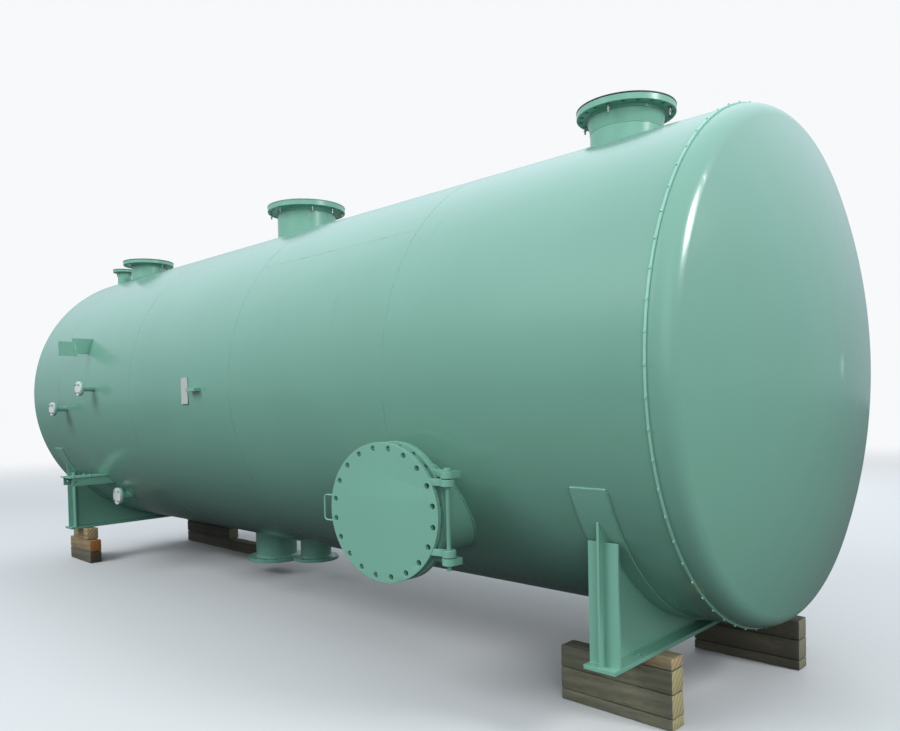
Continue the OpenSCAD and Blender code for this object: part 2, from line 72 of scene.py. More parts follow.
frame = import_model()
NODES = frame["nodes"]
MOUNTS = {mount["name"]: mount for mount in frame["record"]["mounts"]}
SIDE_MOUNTS = [mount for name, mount in MOUNTS.items() if name.startswith("side_")]
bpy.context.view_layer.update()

# the tank's own axis, read from the shell
SHELL_LOW, SHELL_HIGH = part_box("shell_course_1")
AXIS_Y = (SHELL_LOW.y + SHELL_HIGH.y) / 2
AXIS_Z = (SHELL_LOW.z + SHELL_HIGH.z) / 2
SHELL_R = (SHELL_HIGH.z - SHELL_LOW.z) / 2


class TANK_PG_paint(PropertyGroup):
    """Colours and gloss of the finishes."""

    green: FloatVectorProperty(
        name="Green", description="Paint of the tank",
        subtype="COLOR", min=0, max=1, default=(0.138, 0.312, 0.240),
    )
    green_shade: FloatVectorProperty(
        name="Green shade", description="Thinner or dustier paint",
        subtype="COLOR", min=0, max=1, default=(0.122, 0.280, 0.214),
    )
    dark: FloatVectorProperty(
        name="Dark lid", description="Lid of the right top nozzle",
        subtype="COLOR", min=0, max=1, default=(0.020, 0.026, 0.028),
    )
    pale: FloatVectorProperty(
        name="Pale disc", description="Blind discs of the side nozzles",
        subtype="COLOR", min=0, max=1, default=(0.560, 0.610, 0.600),
    )
    wood: FloatVectorProperty(
        name="Timber", description="Fresh face of the timbers",
        subtype="COLOR", min=0, max=1, default=(0.370, 0.285, 0.155),
    )
    # painted light: this share makes the fittings' copy of the green paler, standing for the light that
    # falls on them; their paint is the tank's own green
    fitting: FloatProperty(
        name="Fitting lift", description="How much paler the paint of the fittings is",
        min=0.5, max=2, default=1.18,
    )
    gloss: FloatProperty(
        name="Paint roughness", description="Roughness of the green paint",
        min=0.05, max=1, default=0.24,
    )


class TANK_PG_welds(PropertyGroup):
    """Beads that are left on the outside of the tank."""

    seam: FloatProperty(
        name="Seam bead", description="Radius of the bead over a plate seam",
        unit="LENGTH", default=0.012,
    )
    fillet: FloatProperty(
        name="Fillet bead", description="Radius of the bead round a nozzle",
        unit="LENGTH", default=0.0095,
    )
    small: FloatProperty(
        name="Small bead", description="Radius of the bead on the saddles and slim necks",
        unit="LENGTH", default=0.006,
    )
    proud: FloatProperty(
        name="Bead height", description="Height of a seam bead over the plate",
        unit="LENGTH", default=0.0018,
    )


class TANK_PG_fasteners(PropertyGroup):
    """Bolts, nuts and rivets."""

    side_stud: FloatProperty(
        name="Side stud", description="Radius of the studs in the side nozzles",
        unit="LENGTH", default=0.0065,
    )
    lid_bolt: FloatProperty(
        name="Lid bolt", description="Radius of the few bolts that hold a top lid",
        unit="LENGTH", default=0.0065,
    )
    rivet: FloatProperty(
        name="Rivet", description="Radius of a rivet head", unit="LENGTH", default=0.0065,
    )


class TANK_PG_timber(PropertyGroup):
    """Wear of the timbers."""

    corner: FloatProperty(
        name="Corner", description="Width of the worn corners", unit="LENGTH", default=0.007,
    )
    wear: FloatProperty(
        name="Wear", description="Depth of hollows in the sawn faces", unit="LENGTH", default=0.006,
    )


class TANK_PG_stage(PropertyGroup):
    """Floor and lamps."""

    floor: FloatVectorProperty(
        name="Floor", description="Colour of the floor",
        subtype="COLOR", min=0, max=1, default=(0.56, 0.57, 0.58),
    )
    side_power: FloatProperty(
        name="Side lamp", description="Power of the broad lamp on the manway side",
        unit="POWER", default=1900,
    )
    end_power: FloatProperty(
        name="End lamp", description="Power of the small lamp in front of the right head",
        unit="POWER", default=1300,
    )
    corner_power: FloatProperty(
        name="Corner lamp", description="Power of the broad lamp off the corner",
        unit="POWER", default=900,
    )
    sky: FloatProperty(
        name="Sky", description="Strength of the even light from above", min=0, default=0.85,
    )
    gloss_sky: FloatProperty(
        name="Sky in gloss", description="Brightness overhead that glossy paint shows",
        min=0, default=1.5,
    )


def node(tree, kind, at, **values):
    """A node with its settings and inputs; an underscore in an input's name stands for a space."""
    made = tree.nodes.new(kind)
    made.location = at
    for key, value in values.items():
        if hasattr(made, key):
            setattr(made, key, value)
        else:
            made.inputs[key.replace("_", " ")].default_value = value
    return made


def link(tree, source, out, target, into):
    tree.links.new(source.outputs[out], target.inputs[into])


def feed(value, target, into):
    """Links another node's output to a node's input."""
    target.id_data.links.new(value, target.inputs[into])


def new_group(name, inputs, outputs):
    group = bpy.data.node_groups.new(name, "ShaderNodeTree")
    for label, default in inputs:
        made = group.interface.new_socket(label, in_out="INPUT", socket_type="NodeSocketFloat")
        made.default_value = default
    for label in outputs:
        group.interface.new_socket(label, in_out="OUTPUT", socket_type="NodeSocketFloat")
    enter = node(group, "NodeGroupInput", (-900, 0))
    leave = node(group, "NodeGroupOutput", (900, 0))
    return group, enter, leave


def ramp(tree, at, low, high):
    return node(
        tree, "ShaderNodeMapRange", at, interpolation_type="SMOOTHSTEP", From_Min=low, From_Max=high
    )


def worked_out(tree, at, operation, *values):
    """The output of a Math node whose inputs are numbers or other nodes' outputs."""
    made = node(tree, "ShaderNodeMath", at, operation=operation)
    for index, value in enumerate(values):
        if isinstance(value, float):
            made.inputs[index].default_value = value
        else:
            feed(value, made, index)
    return made.outputs[0]


def cloud_group():
    """Soft large patches and finer mottling of a sprayed coat."""
    group, enter, leave = new_group(
        "sprayed_coat", [("Patch size", 1.2), ("Mottle size", 14.0)], ["Patch", "Mottle"]
    )
    place = node(group, "ShaderNodeTexCoord", (-900, -200))
    patch = node(group, "ShaderNodeTexNoise", (-500, 100), Detail=3.0, Roughness=0.5)
    mottle = node(group, "ShaderNodeTexNoise", (-500, -200), Detail=5.0, Roughness=0.62)
    soft = ramp(group, (-200, 100), 0.36, 0.66)
    fine = ramp(group, (-200, -200), 0.30, 0.72)
    for noise, eased_out, label in ((patch, soft, "Patch"), (mottle, fine, "Mottle")):
        link(group, place, "Object", noise, "Vector")
        link(group, enter, label + " size", noise, "Scale")
        link(group, noise, "Fac", eased_out, "Value")
        link(group, eased_out, "Result", leave, label)
    return group


def streak_group():
    """Marks that water has drawn down the sides."""
    group, enter, leave = new_group("water_marks", [("Spread", 7.0), ("Cut", 0.60)], ["Mask"])
    place = node(group, "ShaderNodeTexCoord", (-900, -200))
    tall = node(group, "ShaderNodeMapping", (-700, -200), Scale=(1.0, 1.0, 0.07))
    marks = node(group, "ShaderNodeTexNoise", (-400, 0), Detail=6.0, Roughness=0.6)
    broken = node(group, "ShaderNodeTexNoise", (-400, -300), Scale=1.3, Detail=2.0)
    keep = ramp(group, (-100, -300), 0.45, 0.62)
    strong = ramp(group, (-100, 0), 0.60, 0.80)
    link(group, place, "Object", tall, "Vector")
    link(group, tall, "Vector", marks, "Vector")
    link(group, place, "Object", broken, "Vector")
    link(group, enter, "Spread", marks, "Scale")
    link(group, enter, "Cut", strong, "From Min")
    link(group, marks, "Fac", strong, "Value")
    link(group, broken, "Fac", keep, "Value")
    both = worked_out(group, (300, 0), "MULTIPLY", strong.outputs["Result"], keep.outputs["Result"])
    feed(both, leave, "Mask")
    return group


def peel_group():
    """Fine ripple of a sprayed coat and the slow waves of rolled plate, as a height."""
    group, enter, leave = new_group("coat_ripple", [("Ripple", 0.35), ("Wave", 0.65)], ["Height"])
    place = node(group, "ShaderNodeTexCoord", (-900, -200))
    heights = []
    for label, scale, y in (("Ripple", 42.0, 150), ("Wave", 2.2, -150)):
        noise = node(group, "ShaderNodeTexNoise", (-500, y), Scale=scale, Detail=1.0)
        link(group, place, "Object", noise, "Vector")
        share = enter.outputs[label]
        heights.append(worked_out(group, (-200, y), "MULTIPLY", noise.outputs["Fac"], share))
    feed(worked_out(group, (200, 0), "ADD", *heights), leave, "Height")
    return group


def grain_group():
    """Growth rings cut along the timber: a colour mask, a pore mask and a height."""
    group, enter, leave = new_group(
        "sawn_timber", [("Ring size", 9.0), ("Warp", 1.6)], ["Rings", "Pores", "Height"]
    )
    place = node(group, "ShaderNodeTexCoord", (-1100, -200))
    tree_axis = node(
        group, "ShaderNodeMapping", (-900, 0), Location=(0.0, 0.31, 0.24), Rotation=(0.0, 0.035, 0.02)
    )
    rings = node(
        group, "ShaderNodeTexWave", (-500, 150), wave_type="RINGS", rings_direction="X",
        Detail=3.0, Detail_Scale=0.9,
    )
    long_way = node(group, "ShaderNodeMapping", (-900, -400), Scale=(0.06, 1.0, 1.0))
    pores = node(group, "ShaderNodeTexNoise", (-500, -300), Scale=150.0, Detail=4.0, Roughness=0.7)
    deep = ramp(group, (-200, -300), 0.52, 0.70)
    link(group, place, "Object", tree_axis, "Vector")
    link(group, tree_axis, "Vector", rings, "Vector")
    link(group, place, "Object", long_way, "Vector")
    link(group, long_way, "Vector", pores, "Vector")
    link(group, enter, "Ring size", rings, "Scale")
    link(group, enter, "Warp", rings, "Distortion")
    link(group, pores, "Fac", deep, "Value")
    sunk = worked_out(group, (100, -100), "MULTIPLY", deep.outputs["Result"], -0.6)
    total = worked_out(group, (400, 0), "ADD", rings.outputs["Fac"], sunk)
    link(group, rings, "Fac", leave, "Rings")
    link(group, deep, "Result", leave, "Pores")
    feed(total, leave, "Height")
    return group


def group_node(tree, group, at, **values):
    return node(tree, "ShaderNodeGroup", at, node_tree=group, **values)


def mix_colour(tree, at, first, second, factor):
    """The output of a Mix node between two colours, each a tuple or another node's output."""
    made = node(tree, "ShaderNodeMix", at, data_type="RGBA")
    feed(factor, made, 0)
    for index, value in ((6, first), (7, second)):
        if isinstance(value, tuple):
            made.inputs[index].default_value = (*value[:3], 1.0)
        else:
            feed(value, made, index)
    return made.outputs[2]


def scaled(tree, at, value, factor, offset=0.0):
    return worked_out(tree, at, "MULTIPLY_ADD", value, factor, offset)


def times(colour, factor):
    return tuple(c * factor for c in colour)


def new_material(name):
    material = bpy.data.materials.new(name)
    material.use_nodes = True
    tree = material.node_tree
    tree.nodes.clear()
    leave = node(tree, "ShaderNodeOutputMaterial", (900, 0))
    shader = node(tree, "ShaderNodeBsdfPrincipled", (500, 0))
    link(tree, shader, "BSDF", leave, "Surface")
    return material, tree, shader


def bump(tree, shader, height, strength, distance):
    made = node(tree, "ShaderNodeBump", (200, -400), Strength=strength, Distance=distance)
    feed(height, made, "Height")
    link(tree, made, "Normal", shader, "Normal")


# how strongly the patches and the mottle show in the paint, and the clear coat's roughness
PATCH_SHARE = 0.30
MOTTLE_SHARE = 0.008
MOTTLE_ROUGHNESS = 0.02
COAT_ROUGHNESS = 0.20


def painted(name, groups, main, shade, roughness, coat=0.5, marks=0.30, ripple=0.05, wave=0.35):
    """Sprayed paint on steel: large patches, water marks, a faint mottle and a ripple."""
    material, tree, shader = new_material(name)
    coat_look = group_node(tree, groups["coat"], (-700, 200))
    streaks = group_node(tree, groups["streaks"], (-700, -100))
    height = group_node(tree, groups["peel"], (-700, -400), Ripple=ripple, Wave=wave)
    patch = scaled(tree, (-400, 250), coat_look.outputs["Patch"], PATCH_SHARE)
    colour = mix_colour(tree, (-200, 200), main, shade, patch)
    grime = tuple(c * 0.55 + 0.02 for c in shade)
    wet = scaled(tree, (-400, -50), streaks.outputs["Mask"], marks)
    colour = mix_colour(tree, (0, 150), colour, grime, wet)
    chalk = tuple(c * 0.9 + 0.12 for c in main)
    fine = scaled(tree, (-400, 50), coat_look.outputs["Mottle"], MOTTLE_SHARE)
    colour = mix_colour(tree, (200, 150), colour, chalk, fine)
    feed(colour, shader, "Base Color")
    rough = scaled(tree, (0, -100), coat_look.outputs["Mottle"], MOTTLE_ROUGHNESS, roughness)
    feed(rough, shader, "Roughness")
    shader.inputs["Coat Weight"].default_value = coat
    shader.inputs["Coat Roughness"].default_value = COAT_ROUGHNESS
    bump(tree, shader, height.outputs["Height"], 0.25, 0.0020)
    return material


def timber_material(name, groups, fresh, grey, end):
    """Sawn wood: rings and pores along the timber, grey weathering, and the cut ends."""
    material, tree, shader = new_material(name)
    grain = group_node(tree, groups["grain"], (-700, 100))
    weather = group_node(tree, groups["coat"], (-700, -200), Patch_size=3.5, Mottle_size=26.0)
    facing = node(tree, "ShaderNodeTexCoord", (-1100, 400))
    split = node(tree, "ShaderNodeSeparateXYZ", (-950, 400))
    cut = ramp(tree, (-650, 400), 0.55, 0.85)
    link(tree, facing, "Normal", split, "Vector")
    across = worked_out(tree, (-800, 400), "ABSOLUTE", split.outputs["X"])
    feed(across, cut, "Value")
    rings = scaled(tree, (-500, 300), grain.outputs["Rings"], 0.40)
    greyed = scaled(tree, (-400, 0), weather.outputs["Patch"], 0.75)
    pores = scaled(tree, (-300, -100), grain.outputs["Pores"], 0.45)
    end_rings = scaled(tree, (-300, 500), grain.outputs["Rings"], 0.6)
    colour = mix_colour(tree, (-300, 200), fresh, times(fresh, 0.45), rings)
    colour = mix_colour(tree, (-100, 200), colour, grey, greyed)
    colour = mix_colour(tree, (100, 200), colour, times(fresh, 0.25), pores)
    end_look = mix_colour(tree, (100, 500), end, times(end, 0.55), end_rings)
    colour = mix_colour(tree, (300, 300), colour, end_look, cut.outputs["Result"])
    feed(colour, shader, "Base Color")
    rough = scaled(tree, (0, -100), weather.outputs["Mottle"], 0.12, 0.78)
    feed(rough, shader, "Roughness")
    bump(tree, shader, grain.outputs["Height"], 0.7, 0.003)
    return material


def zinc_material(name, groups, bright, dull):
    """Plated steel that has gone dull in patches."""
    material, tree, shader = new_material(name)
    patches = group_node(tree, groups["coat"], (-700, 100), Patch_size=30.0, Mottle_size=160.0)
    height = group_node(tree, groups["peel"], (-700, -300), Ripple=0.5, Wave=0.0)
    colour = mix_colour(tree, (-200, 200), bright, dull, patches.outputs["Patch"])
    feed(colour, shader, "Base Color")
    shader.inputs["Metallic"].default_value = 0.85
    rough = scaled(tree, (0, -100), patches.outputs["Mottle"], 0.2, 0.32)
    feed(rough, shader, "Roughness")
    bump(tree, shader, height.outputs["Height"], 0.3, 0.0008)
    return material


# main colour and shade of the smaller finishes
GREY_LID = ((0.200, 0.280, 0.250), (0.150, 0.210, 0.190))
GREEN_LID = ((0.045, 0.110, 0.085), (0.035, 0.080, 0.062))
BARE_PLATE = ((0.42, 0.44, 0.43), (0.33, 0.35, 0.35))
ZINC = ((0.62, 0.63, 0.61), (0.36, 0.37, 0.35))
# weathered face and cut end of the paler timbers; their fresh face is in the panel
SAWN_TIMBER = ((0.215, 0.190, 0.135), (0.420, 0.320, 0.175))
# name, fresh face, weathered face and cut end of the other timbers
OTHER_TIMBERS = {
    "timber_orange": ("orange_timber", (0.310, 0.220, 0.120), (0.190, 0.160, 0.110), (0.380, 0.165, 0.050)),
    # darker timbers, for the lowest layer of the piles on the near left
    "timber_low_dark": ("trodden_timber", (0.150, 0.125, 0.090), (0.095, 0.092, 0.078), (0.085, 0.065, 0.045)),
    "timber_grey": ("grey_timber", (0.165, 0.162, 0.110), (0.115, 0.120, 0.092), (0.380, 0.340, 0.180)),
    # the darkest timbers, for the piles on the far side of the tank
    "timber_far_dark": ("old_timber", (0.100, 0.092, 0.065), (0.070, 0.068, 0.055), (0.210, 0.200, 0.140)),
}


def build_materials(paint):
    groups = {
        "coat": cloud_group(),
        "streaks": streak_group(),
        "peel": peel_group(),
        "grain": grain_group(),
    }
    green, shade = tuple(paint.green), tuple(paint.green_shade)
    dark, pale = tuple(paint.dark), tuple(paint.pale)
    # painted highlight: a paler green for the thin seam ring, standing for the light that its rounded edges
    # catch
    edge = tuple(c * 1.5 + 0.03 for c in green)
    dull = {"coat": 0.0, "wave": 0.2}
    made = {
        "shell": painted("green_shell_paint", groups, green, shade, paint.gloss, marks=0.22),
        # painted light: the fittings get the tank's green made paler by the lift, standing for the light on
        # them
        "fitting": painted(
            "green_fitting_paint_lit_paler", groups, times(green, paint.fitting), times(shade, paint.fitting),
            paint.gloss + 0.06, coat=0.3, marks=0.25, wave=0.2,
        ),
        "weld": painted(
            "green_weld_paint", groups, green, shade, paint.gloss + 0.10, ripple=0.30, wave=0.2
        ),
        "edge": painted("green_ring_painted_highlight", groups, edge, green, 0.30, coat=0.3, wave=0.2),
        "dark": painted("dark_lid", groups, dark, times(dark, 1.6), 0.55, **dull),
        "lid_grey": painted("grey_green_lid", groups, *GREY_LID, 0.55, **dull),
        "lid_green": painted("dark_green_lid", groups, *GREEN_LID, 0.50, **dull),
        "zinc": zinc_material("zinc_bolt", groups, *ZINC),
        "pale": painted("pale_blind_paint", groups, pale, times(pale, 0.8), 0.42, coat=0.1, wave=0.2),
        "plate": painted("bare_plate_metal", groups, *BARE_PLATE, 0.45, coat=0.0),
        "timber": timber_material("sawn_timber", groups, tuple(paint.wood), *SAWN_TIMBER),
    }
    for key, (name, *colours) in OTHER_TIMBERS.items():
        made[key] = timber_material(name, groups, *colours)
    return made


MATERIALS = {}


def dress(obj, key):
    obj.data.materials.clear()
    obj.data.materials.append(MATERIALS[key])


def at(x, y, z):
    """A place given from the tank's own axis."""
    return Vector((x, y + AXIS_Y, z + AXIS_Z))


def leave_edit():
    bpy.ops.object.mode_set(mode="OBJECT")


def clear():
    if bpy.context.object and bpy.context.object.mode != "OBJECT":
        leave_edit()
    bpy.ops.object.select_all(action="DESELECT")


def only(obj):
    clear()
    obj.select_set(True)
    bpy.context.view_layer.objects.active = obj


def edit(obj):
    """Opens a piece in edit mode with all of it selected."""
    only(obj)
    bpy.ops.object.mode_set(mode="EDIT")
    bpy.ops.mesh.select_all(action="SELECT")


def pick(obj, test, kind="VERT"):
    """Selects the points or faces that pass a test, and leaves edit mode on."""
    only(obj)
    bpy.ops.object.mode_set(mode="EDIT")
    bpy.ops.mesh.select_mode(type=kind)
    bpy.ops.mesh.select_all(action="DESELECT")
    leave_edit()
    for part in obj.data.vertices if kind == "VERT" else obj.data.polygons:
        part.select = test(part)
    bpy.ops.object.mode_set(mode="EDIT")


def cut_away(obj, test):
    """Deletes the points that pass a test."""
    pick(obj, test)
    bpy.ops.mesh.delete(type="VERT")
    leave_edit()


def apply_modifier(obj, kind, **values):
    only(obj)
    made = obj.modifiers.new(kind.title(), kind)
    for key, value in values.items():
        setattr(made, key, value)
    bpy.ops.object.modifier_apply(modifier=made.name)


def eased(obj, width, segments=2, angle=math.radians(40), clamp=False):
    """Rounds off the edges that are sharper than an angle."""
    apply_modifier(
        obj, "BEVEL", width=width, segments=segments, limit_method="ANGLE", angle_limit=angle,
        use_clamp_overlap=clamp,
    )


def finished(obj, name, key, slot, nodes=(), body="tank", smooth=35):
    """Settles a piece: its place goes into its mesh, and it gets its name, finish and body; its slot is not
    used.
    """
    only(obj)
    bpy.ops.object.transform_apply()
    bpy.ops.object.shade_smooth_by_angle(angle=math.radians(smooth))
    obj.name = name
    obj.data.name = name
    dress(obj, key)
    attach(obj, body)
    if nodes:
        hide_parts(*nodes)
    obj.select_set(False)


def joined(parts):
    clear()
    for part in parts:
        part.select_set(True)
    bpy.context.view_layer.objects.active = parts[0]
    bpy.ops.object.join()
    return bpy.context.object


def copied(obj, move):
    """A copy with its own mesh, moved."""
    twin = obj.copy()
    twin.data = obj.data.copy()
    bpy.context.scene.collection.objects.link(twin)
    twin.location += Vector(move)
    return twin


def merged_node(name):
    """A copy of a carried-over piece with its loose triangles merged into clean faces."""
    twin = bpy.data.objects.new(name + "_dressed", NODES[name].data.copy())
    bpy.context.scene.collection.objects.link(twin)
    edit(twin)
    bpy.ops.mesh.remove_doubles(threshold=0.00005)
    bpy.ops.mesh.dissolve_limited(angle_limit=math.radians(0.5))
    leave_edit()
    return twin


def thickened(line, thick, seed, rough=0.0006):
    """Turns a line of edges into a weld bead with an uneven surface."""
    only(line)
    bpy.ops.object.convert(target="CURVE")
    line = bpy.context.object
    line.data.bevel_depth = thick
    line.data.bevel_resolution = 1
    line.data.use_fill_caps = True
    bpy.ops.object.convert(target="MESH")
    line = bpy.context.object
    edit(line)
    bpy.ops.mesh.remove_doubles(threshold=0.00001)
    bpy.ops.mesh.normals_make_consistent(inside=False)
    bpy.ops.transform.vertex_random(offset=rough, uniform=0.3, normal=0.7, seed=seed)
    leave_edit()
    return line


def circle_line(place, turn, radius, vertices, keep=None):
    """A circle of edges, of which only the points that pass a test are kept."""
    clear()
    bpy.ops.mesh.primitive_circle_add(vertices=vertices, radius=radius, location=place, rotation=turn)
    line = bpy.context.object
    bpy.ops.object.transform_apply()
    if keep:
        cut_away(line, lambda v: not keep(v.co))
    return line


def straight_line(start, end, steps):
    """A straight line of edges between two places."""
    clear()
    start, end = Vector(start), Vector(end)
    span = end - start
    bpy.ops.mesh.primitive_grid_add(x_subdivisions=steps, y_subdivisions=1, size=1)
    line = bpy.context.object
    cut_away(line, lambda v: v.co.y > 0)
    edit(line)
    bpy.ops.transform.translate(value=(0.5, 0.5, 0.0))
    leave_edit()
    line.scale = (span.length, 1, 1)
    line.rotation_euler = span.to_track_quat("X", "Z").to_euler()
    line.location = start
    bpy.ops.object.transform_apply()
    return line


def welded(beads, name):
    """Settles a group of beads as one piece."""
    finished(joined(beads), name, "weld", "green_paint", smooth=60)


def rod(place, radius, length, turn):
    """A bar with chamfered ends, centred on a place."""
    clear()
    bpy.ops.mesh.primitive_cylinder_add(
        vertices=12, radius=radius, depth=length, location=place, rotation=turn
    )
    bar = bpy.context.object
    eased(bar, radius * 0.2, segments=1, angle=0.9, clamp=True)
    return bar


def hex_nut(place, radius, turn):
    """A nut with its corners chamfered, made from a six-sided prism."""
    clear()
    across = radius * 1.75
    bpy.ops.mesh.primitive_cylinder_add(vertices=6, radius=across, depth=radius * 1.6, location=(0, 0, 0))
    nut = bpy.context.object
    pick(nut, lambda f: abs(f.normal.z) > 0.9, "FACE")
    bpy.ops.mesh.inset(thickness=across * 0.14)
    leave_edit()
    half = radius * 0.8
    pick(nut, lambda v: abs(v.co.z) > half * 0.9 and v.co.to_2d().length > across * 0.95)
    bpy.ops.transform.resize(value=(1, 1, 0.72))
    leave_edit()
    nut.location = place
    nut.rotation_euler = turn
    bpy.ops.object.transform_apply()
    return nut


def bolt_circle(mount):
    """Radius of a mount's bolt circle, and how many holes it has."""
    return mount["dims"]["pcd_mm"] / 2000, mount["dims"]["count"]


def hole_way(number, holes):
    """Direction of a hole from the middle: the first lies half a step round from X."""
    turn = 2 * math.pi * (number + 0.5) / holes
    return math.cos(turn), math.sin(turn)


def side_nozzle(mount):
    """Pipe radius of a side nozzle, and the depth of its flange and blind: 3 inch or 2 inch."""
    return (0.04445, 0.0478) if mount["dims"]["pcd_mm"] > 140 else (0.03015, 0.0382)


def node_finish(name):
    """Finish of a carried-over piece, by its name."""
    if name.startswith(("shell_", "head_")):
        return "shell"
    if name.startswith("timber"):
        return "timber"
    # the seam ring takes the paler green with the painted highlight
    return {"seam_ring": "edge", "side_blinds": "pale", "label_plate": "plate"}.get(name, "fitting")


UPRIGHT = (0.0, 0.0, 0.0)
ALONG_X = (0.0, math.pi / 2, 0.0)
ALONG_Y = (math.pi / 2, 0.0, 0.0)
# steps round a circle on the shell
SHELL_STEPS = 256
# greatest angle, in degrees, that is smoothed on a piece with flat faces
FLAT_SMOOTH = 25


class TANK_OT_finishes(Operator):
    """Build the finishes and put one on each carried-over piece"""

    bl_idname = "tank.finishes"
    bl_label = "Finishes"

    def execute(self, context):
        MATERIALS.update(build_materials(context.scene.tank_paint))
        for name, obj in NODES.items():
            dress(obj, node_finish(name))
            obj.select_set(False)
        return {"FINISHED"}


class TANK_OT_plates(Operator):
    """Flanges, cover, hinge, saddles and brackets with their edges eased"""

    bl_idname = "tank.plates"
    bl_label = "Flanges and plates"

    # width of the eased edges, and the pieces that have it
    EASED = {
        0.0025: (
            "manway_flange", "manway_cover", "top_a_flange", "top_b_flange", "top_c_flange",
            "low_a_flange", "low_b_flange", "cover_leaves", "flange_leaves", "saddle_bases",
        ),
        0.0015: (
            "top_d_flange", "side_flanges", "side_blinds", "wear_plates", "saddle_webs",
            "saddle_ribs", "hinge_rod", "shelf_plate", "shelf_arms", "side_lug",
        ),
        0.0008: ("plate_bracket", "name_plate", "label_plate", "seam_ring"),
    }
    # slots of the pieces that aren't green
    SLOTS = {"side_blinds": "pale_face", "label_plate": "bare_plate"}

    def execute(self, context):
        for width, names in self.EASED.items():
            for name in names:
                plate = merged_node(name)
                if name == "seam_ring":
                    self.narrow(plate)
                eased(plate, width)
                slot = self.SLOTS.get(name, "green_paint")
                body = NODES[name]["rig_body"]
                finished(plate, name + "_eased", node_finish(name), slot, (name,), body, FLAT_SMOOTH)
        return {"FINISHED"}

    def narrow(self, ring):
        """Half the width, about the middle of its lugs."""
        low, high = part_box("seam_ring")
        edit(ring)
        middle = ((low.x + high.x) / 2, AXIS_Y, AXIS_Z)
        bpy.ops.transform.resize(value=(0.5, 1, 1), center_override=middle)
        leave_edit()


class TANK_OT_seams(Operator):
    """Beads round the girth seams and along the plate seams"""

    bl_idname = "tank.seams"
    bl_label = "Plate seams"

    # where each course's own seam lies, in degrees above the level on the manway side
    TURNS = (131.0, 39.5, 141.0, 128.0, 139.0)
    # distance of the left head's seam from the shell's end
    LEFT_SEAM = 0.075
    # unevenness of the beads, length of their steps, and how far they end from a course's edges
    ROUGH = 0.0003
    STEP = 0.02
    INSET = 0.006

    def execute(self, context):
        welds = context.scene.tank_welds
        centre = SHELL_R + welds.proud - welds.seam
        edges = [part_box(f"shell_course_{number}") for number in range(1, 6)]
        half = edges[0][1].x
        places = [low.x for low, high in edges[:-1]] + [self.LEFT_SEAM - half]
        beads = []
        for index, x in enumerate(places):
            line = circle_line(at(x, 0, 0), ALONG_X, centre, SHELL_STEPS)
            beads.append(thickened(line, welds.seam, 11 + index, self.ROUGH))
        welded(beads, "girth_beads")
        beads = []
        for index, ((low, high), turn) in enumerate(zip(edges, self.TURNS)):
            y = -centre * math.cos(math.radians(turn))
            z = centre * math.sin(math.radians(turn))
            steps = round((high.x - low.x) / self.STEP)
            line = straight_line(at(low.x + self.INSET, y, z), at(high.x - self.INSET, y, z), steps)
            beads.append(thickened(line, welds.seam, 31 + index, self.ROUGH))
        welded(beads, "long_beads")
        return {"FINISHED"}


class TANK_OT_nozzle_welds(Operator):
    """Fillet round every neck where it meets the shell, and the hub of the right top nozzle"""

    bl_idname = "tank.nozzle_welds"
    bl_label = "Nozzle welds"

    # where the circles start before they are laid on the shell, in its radii
    JUST_OUT = 1.02
    # a pipe over this radius gets the large fillet
    WIDE_PIPE = 0.1
    # length of the hub below its flange, how much wider than the pipe it is there, and its wall
    HUB_LONG = 0.090
    HUB_FLARE = 0.018
    HUB_WALL = 0.008
    # length of a bead's steps
    STEP = 0.013

    def execute(self, context):
        welds = context.scene.tank_welds
        clear()
        bpy.ops.mesh.primitive_cylinder_add(
            vertices=SHELL_STEPS, radius=SHELL_R + 0.001, depth=8.6, location=at(0, 0, 0),
            rotation=ALONG_X,
        )
        drum = bpy.context.object
        beads = []
        for index, (centre, radius, sideways) in enumerate(self.necks()):
            thick = welds.fillet if radius > self.WIDE_PIPE else welds.small
            steps = max(32, round(radius * 2 * math.pi / self.STEP))
            turn = ALONG_Y if sideways else UPRIGHT
            line = circle_line(centre, turn, radius + thick * 0.25, steps)
            apply_modifier(
                line, "SHRINKWRAP", target=drum, wrap_method="PROJECT", use_project_y=sideways,
                use_project_z=not sideways, use_negative_direction=True, use_positive_direction=True,
            )
            beads.append(thickened(line, thick, 51 + index))
        bpy.data.objects.remove(drum)
        welded(beads, "neck_fillets")
        self.hub("top_a", welds.small)
        return {"FINISHED"}

    def necks(self):
        """Centre just outside the shell, pipe radius, and whether it points sideways, of each neck."""
        out = self.JUST_OUT * SHELL_R
        for name in ("top_a", "top_b", "top_c", "top_d", "low_a", "low_b"):
            low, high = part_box(name + "_neck")
            middle = (low + high) / 2
            middle.z = AXIS_Z + (out if name.startswith("top") else -out)
            yield middle, (high.x - low.x) / 2, False
        low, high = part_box("manway_neck")
        middle = (low + high) / 2
        middle.y = AXIS_Y - out
        yield middle, (high.x - low.x) / 2, True
        for mount in SIDE_MOUNTS:
            x, y, z = mount["pos_m"]
            yield Vector((x, AXIS_Y - out, z)), side_nozzle(mount)[0], True

    def hub(self, name, thick):
        """Tapered hub under a flange, with the bead that joins it to the pipe."""
        low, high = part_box(name + "_neck")
        radius = (high.x - low.x) / 2
        place = (low + high) / 2
        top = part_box(name + "_flange")[0].z
        place.z = top - self.HUB_LONG / 2
        clear()
        bpy.ops.mesh.primitive_cone_add(
            vertices=128, radius1=radius + 0.0005, radius2=radius + self.HUB_FLARE,
            depth=self.HUB_LONG, end_fill_type="NOTHING", location=place,
        )
        cone = bpy.context.object
        bpy.ops.object.transform_apply()
        apply_modifier(cone, "SOLIDIFY", thickness=self.HUB_WALL, offset=-1)
        place.z = top - self.HUB_LONG
        bead = thickened(circle_line(place, UPRIGHT, radius - thick * 0.5, 128), thick, 91)
        finished(joined([cone, bead]), name + "_hub", "fitting", "green_paint", smooth=40)


